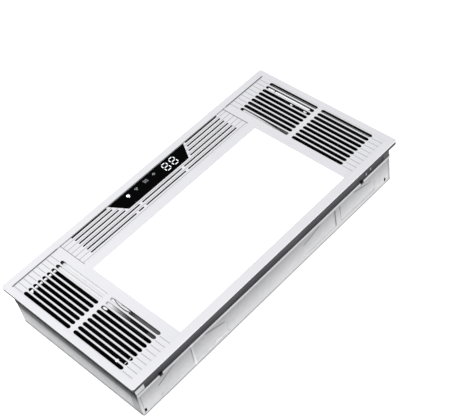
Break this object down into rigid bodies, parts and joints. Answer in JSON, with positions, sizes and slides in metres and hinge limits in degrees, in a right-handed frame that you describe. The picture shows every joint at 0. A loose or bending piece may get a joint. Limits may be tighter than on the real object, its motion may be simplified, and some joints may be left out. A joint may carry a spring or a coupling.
{
  "type": "bathroom ceiling heater",
  "caption": "Flat 600 x 300 mm ceiling unit: warm air heater at one end, extract fan at the other, light between them and a louvred intake with a display.",
  "frame": {"origin": "centre of the housing's flat back, on the surface that the unit lies on with its face up", "axes": "+X along the 600 mm length towards the extract fan's outlet, +Y towards the display side, +Z out of the face"},
  "size_m": [0.6, 0.3, 0.09],
  "materials": {
    "galvanised": "galvanised sheet, satin",
    "frame_plastic": "dark grey, fine texture",
    "black_plastic": "black, matt",
    "black_sheet": "black paint, matt",
    "white_plastic": "white, semi-gloss",
    "display_gloss": "black, polished",
    "board": "coated circuit board",
    "diffuser": "milk white, glows when lit",
    "guide_clear": "clear",
    "light_strip": "light chips on a strip",
    "aluminium": "mill finish",
    "steel": "zinc plated",
    "wheel_grey": "grey, satin",
    "ceramic": "heat-proof, matt",
    "relay_blue": "semi-gloss",
    "rubber": "matt"
  },
  "bodies": {
    "unit": {"housing": "galvanised", "partition": "galvanised", "heater_motor": "galvanised", "extract_motor": "galvanised", "mounting_frame": "frame_plastic", "frame_clip_1": "black_plastic", "frame_clip_2": "black_plastic", "frame_clip_3": "black_plastic", "frame_clip_4": "black_plastic", "panel_latch_1": "steel", "panel_latch_2": "steel", "front_panel": "white_plastic", "intake_cover": "white_plastic", "light_driver": "white_plastic", "terminal_block": "white_plastic", "outlet_guide": "white_plastic", "inlet_guide": "white_plastic", "inlet_rib": "white_plastic", "display_window": "display_gloss", "capacitor": "display_gloss", "display_board": "board", "control_board": "board", "light_diffuser": "diffuser", "light_guide": "guide_clear", "light_strip_near": "light_strip", "light_strip_far": "light_strip", "light_tray": "aluminium", "heating_core": "aluminium", "tray_screw_1": "steel", "tray_screw_2": "steel", "motor_screw_1": "steel", "motor_screw_2": "steel", "motor_screw_3": "steel", "extract_screw_1": "steel", "extract_screw_2": "steel", "extract_screw_3": "steel", "near_end_plate": "black_sheet", "far_end_plate": "black_sheet", "outlet_elbow": "black_sheet", "outlet_lip": "black_sheet", "fan_scroll": "black_sheet", "fan_tongue": "black_sheet", "heater_cap_near": "ceramic", "heater_cap_far": "ceramic", "thermal_cutout": "black_plastic", "extract_casing": "black_plastic", "extract_cover": "black_plastic", "outlet_collar": "black_plastic", "control_box": "black_plastic", "control_cover": "black_plastic", "cable_gland": "black_plastic", "gland_nut": "black_plastic", "relay_bank": "relay_blue", "fan_bearing": "rubber", "cable_grommet": "rubber"},
    "heater_rotor": {"heater_fan": "wheel_grey", "heater_shaft": "steel"},
    "extract_rotor": {"extract_wheel": "wheel_grey", "extract_shaft": "steel"},
    "flap": {"backdraught_flap": "wheel_grey"}
  },
  "joints": [
    {"name": "heater_fan_spin", "type": "hinge", "parent": "unit", "child": "heater_rotor", "pos_m": [-0.132, 0.0141, 0.0362], "axis": [0, 1, 0], "continuous": true},
    {"name": "extract_wheel_spin", "type": "hinge", "parent": "unit", "child": "extract_rotor", "pos_m": [0.11198, 0, 0.009], "axis": [0, 0, 1], "continuous": true},
    {"name": "flap_swing", "type": "hinge", "parent": "unit", "child": "flap", "pos_m": [0.2646, 0.08334, 0.0111], "axis": [0, 1, 0], "range_deg": [0, 75], "stiffness_Nm_per_rad": 0.002}
  ]
}
